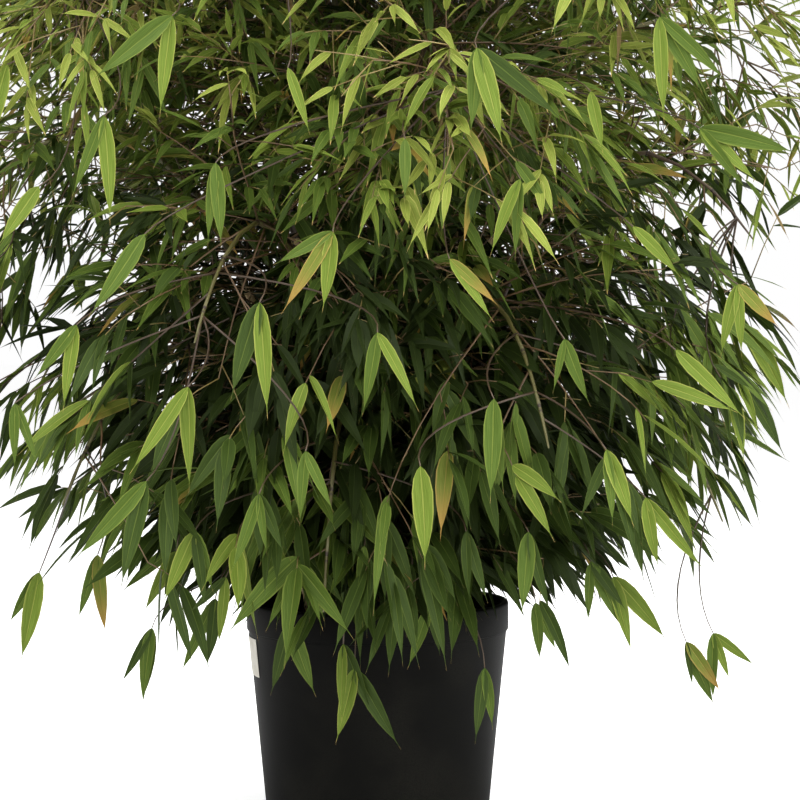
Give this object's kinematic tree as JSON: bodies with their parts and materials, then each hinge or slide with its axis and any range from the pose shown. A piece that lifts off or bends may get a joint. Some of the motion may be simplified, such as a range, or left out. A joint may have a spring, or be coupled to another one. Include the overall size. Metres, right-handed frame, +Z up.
{
  "type": "potted bamboo",
  "caption": "Clump-forming garden bamboo with arching leafy canes, growing in a round black nursery pot.",
  "frame": {"origin": "middle of the pot's flat underside", "axes": "+Z up along the pot's axis; -Y is the front, with the label on the left (-X) side"},
  "size_m": [1.0818, 1.0778, 1.4478],
  "materials": {
    "pot_plastic": "matte black moulded plastic, a little dusty",
    "soil": "dark bark-based potting soil, rough",
    "label_paper": "blank white sticker, satin paper",
    "cane": "smooth olive to brown cane with ringed joints",
    "leaf": "satin green leaf with fine lengthwise veins"
  },
  "bodies": {
    "root": {"pot": "pot_plastic", "potting_soil": "soil", "label": "label_paper", "cane_1": "cane", "cane_2": "cane", "cane_3": "cane", "cane_4": "cane", "cane_5": "cane", "cane_6": "cane", "cane_7": "cane", "cane_8": "cane", "cane_9": "cane", "cane_10": "cane", "cane_11": "cane", "cane_12": "cane", "cane_13": "cane", "cane_14": "cane", "cane_15": "cane", "cane_16": "cane", "cane_17": "cane", "cane_18": "cane", "cane_19": "cane", "cane_20": "cane", "cane_21": "cane", "cane_22": "cane", "cane_23": "cane", "cane_24": "cane", "cane_25": "cane", "cane_26": "cane", "cane_27": "cane", "foliage_1": "leaf", "foliage_2": "leaf", "foliage_3": "leaf", "foliage_4": "leaf", "foliage_5": "leaf", "foliage_6": "leaf", "foliage_7": "leaf", "foliage_8": "leaf", "foliage_9": "leaf", "foliage_10": "leaf", "foliage_11": "leaf", "foliage_12": "leaf", "foliage_13": "leaf", "foliage_14": "leaf", "foliage_15": "leaf", "foliage_16": "leaf", "foliage_17": "leaf", "foliage_18": "leaf", "foliage_19": "leaf", "foliage_20": "leaf", "foliage_21": "leaf", "foliage_22": "leaf", "foliage_23": "leaf", "foliage_24": "leaf", "foliage_25": "leaf", "foliage_26": "leaf", "foliage_27": "leaf"}
  },
  "joints": []
}
